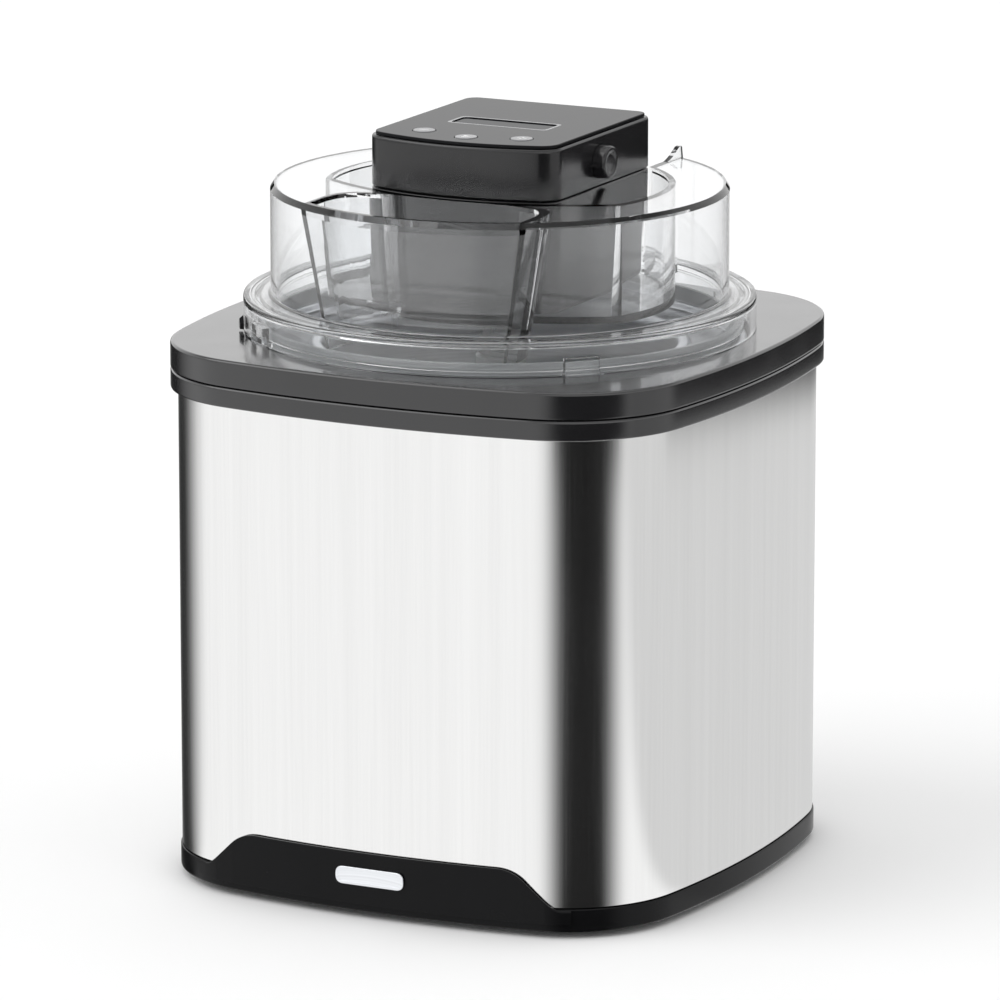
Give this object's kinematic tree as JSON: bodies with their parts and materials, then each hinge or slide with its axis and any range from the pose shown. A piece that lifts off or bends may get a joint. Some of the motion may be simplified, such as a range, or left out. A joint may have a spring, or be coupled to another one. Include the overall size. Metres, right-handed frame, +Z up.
{
  "type": "ice cream maker",
  "caption": "Ice cream maker: square steel housing, locking ring, lift-out freezer bowl, turning paddle, clear lid with filling chute and a motor unit on top.",
  "frame": {"origin": "middle of the footprint, on the plane the feet stand on", "axes": "+Z up along the paddle's axis, -Y to the front, where the raised panel and the filling chute are"},
  "size_m": [0.231, 0.231, 0.2992],
  "materials": {
    "steel_sheet": "brushed",
    "black_plastic": "fine grain",
    "gloss_black": "polished",
    "dark_liner": "matt",
    "white_plastic": "gloss",
    "cream_plastic": "satin",
    "aluminium": "satin",
    "rubber": "matt",
    "silicone": "matt",
    "gel": "frozen gel",
    "clear": "clear",
    "lens": "polished",
    "zinc": "zinc plated",
    "brass": "machined",
    "board": "lacquered",
    "acetal": "moulded",
    "key_grey": "satin"
  },
  "bodies": {
    "housing": {"housing_sleeve": "steel_sheet", "housing_rim": "black_plastic", "housing_liner": "dark_liner", "base_tray": "black_plastic", "badge_plate": "aluminium", "bowl_pad": "rubber", "foot_front_left": "rubber", "foot_front_right": "rubber", "foot_rear_left": "rubber", "foot_rear_right": "rubber", "base_screw_front_left": "zinc", "base_screw_front_right": "zinc", "base_screw_rear_left": "zinc", "base_screw_rear_right": "zinc"},
    "ring": {"locking_ring": "black_plastic"},
    "bowl": {"bowl_shell": "white_plastic", "bowl_inner": "aluminium", "cooling_gel": "gel", "filler_plug": "rubber"},
    "paddle_foot": {"paddle_glide": "acetal"},
    "stirrer": {"paddle": "cream_plastic"},
    "bush": {"shaft_bush": "white_plastic"},
    "shaft": {"drive_shaft": "white_plastic"},
    "cover_lid": {"lid": "clear", "lid_seal": "silicone", "lock_pointer": "gloss_black"},
    "motor_unit": {"motor_lower_housing": "black_plastic", "motor_upper_cover": "black_plastic", "control_panel": "gloss_black", "display_lens": "lens", "cord_gland": "rubber", "spindle_bush": "acetal", "circuit_board": "board", "display_module": "white_plastic", "gear_motor": "zinc", "gear_pin": "zinc", "gearbox_plate": "steel_sheet", "cover_screw_1": "zinc", "cover_screw_2": "zinc", "cover_screw_3": "zinc", "cover_screw_4": "zinc"},
    "spindle": {"output_spindle": "acetal"},
    "second_gear": {"compound_gear": "acetal"},
    "armature": {"motor_pinion": "brass"},
    "less_key": {"key_less": "key_grey"},
    "start_key": {"key_start": "key_grey"},
    "more_key": {"key_more": "key_grey"},
    "left_release": {"release_button_left": "black_plastic"},
    "right_release": {"release_button_right": "black_plastic"}
  },
  "joints": [
    {"name": "ring_lift", "type": "slide", "parent": "housing", "child": "ring", "axis": [0, 0, 1], "range_m": [0, 0.0875]},
    {"name": "bowl_lift", "type": "slide", "parent": "ring", "child": "bowl", "axis": [0, 0, 1], "range_m": [0, 0.2155]},
    {"name": "paddle_lift", "type": "slide", "parent": "bowl", "child": "paddle_foot", "axis": [0, 0, 1], "range_m": [0, 0.1605]},
    {"name": "paddle_spin", "type": "hinge", "parent": "paddle_foot", "child": "stirrer", "pos_m": [0, 0, 0.1], "axis": [0, 0, 1], "continuous": true},
    {"name": "shaft_lift", "type": "slide", "parent": "paddle_foot", "child": "bush", "axis": [0, 0, 1], "range_m": [0, 0.0385]},
    {"name": "shaft_spin", "type": "hinge", "parent": "bush", "child": "shaft", "pos_m": [0, 0, 0.205], "axis": [0, 0, 1], "continuous": true},
    {"name": "lid_lift", "type": "slide", "parent": "bush", "child": "cover_lid", "axis": [0, 0, 1], "range_m": [0, 0.0605]},
    {"name": "motor_lift", "type": "slide", "parent": "cover_lid", "child": "motor_unit", "axis": [0, 0, 1], "range_m": [0, 0.0925]},
    {"name": "spindle_spin", "type": "hinge", "parent": "motor_unit", "child": "spindle", "pos_m": [0, 0, 0.245], "axis": [0, 0, 1], "continuous": true},
    {"name": "second_gear_spin", "type": "hinge", "parent": "motor_unit", "child": "second_gear", "pos_m": [0.01162, 0.01659, 0.258], "axis": [0, 0, 1], "continuous": true},
    {"name": "armature_spin", "type": "hinge", "parent": "motor_unit", "child": "armature", "pos_m": [-0.00722, 0.02164, 0.265], "axis": [0, 0, 1], "continuous": true},
    {"name": "less_key_press", "type": "slide", "parent": "motor_unit", "child": "less_key", "axis": [0, 0, -1], "range_m": [0, 0.0006], "stiffness_N_per_m": 400},
    {"name": "start_key_press", "type": "slide", "parent": "motor_unit", "child": "start_key", "axis": [0, 0, -1], "range_m": [0, 0.0006], "stiffness_N_per_m": 400},
    {"name": "more_key_press", "type": "slide", "parent": "motor_unit", "child": "more_key", "axis": [0, 0, -1], "range_m": [0, 0.0006], "stiffness_N_per_m": 400},
    {"name": "left_release_press", "type": "slide", "parent": "motor_unit", "child": "left_release", "axis": [1, 0, 0], "range_m": [0, 0.003], "stiffness_N_per_m": 600},
    {"name": "right_release_press", "type": "slide", "parent": "motor_unit", "child": "right_release", "axis": [-1, 0, 0], "range_m": [0, 0.003], "stiffness_N_per_m": 600}
  ],
  "couplings": [
    {"joint": "shaft_spin", "follows": "paddle_spin", "ratio": 1},
    {"joint": "spindle_spin", "follows": "paddle_spin", "ratio": 1},
    {"joint": "second_gear_spin", "follows": "paddle_spin", "ratio": -2},
    {"joint": "armature_spin", "follows": "paddle_spin", "ratio": 4.5}
  ]
}
